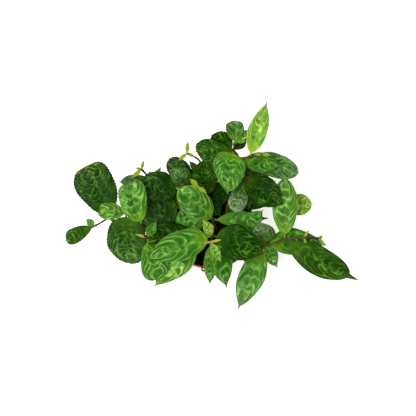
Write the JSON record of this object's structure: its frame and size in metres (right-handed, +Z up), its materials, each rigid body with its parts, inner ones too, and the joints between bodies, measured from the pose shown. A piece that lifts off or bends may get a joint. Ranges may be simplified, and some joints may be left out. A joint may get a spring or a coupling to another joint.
{
  "type": "potted lipstick plant",
  "caption": "Lipstick plant with mottled, waved leaves on arching stems, rooted in peat in a small tapered nursery pot with lugs for a wire hanger.",
  "frame": {"origin": "centre of the pot's underside", "axes": "+Z up out of the pot; +X along the plant's longest spread; +Y towards the plant's back"},
  "size_m": [0.3423, 0.2277, 0.1711],
  "materials": {
    "pot_plastic": "terracotta-coloured moulded plastic, slightly glossy",
    "peat": "dark moist peat with coarse crumbs",
    "leaf": "leathery leaf, dark green with a light yellow-green net of rings, semi-gloss"
  },
  "bodies": {
    "root": {"pot": "pot_plastic", "soil": "peat", "leafy_stem_front": "leaf", "leafy_stem_front_left": "leaf", "leafy_stem_west": "leaf", "leafy_stem_west_north": "leaf", "leafy_stem_north_west": "leaf", "leafy_stem_centre": "leaf", "leafy_stem_north": "leaf", "leafy_stem_north_east": "leaf", "leafy_stem_east": "leaf", "leafy_stem_south_east": "leaf"}
  },
  "joints": []
}
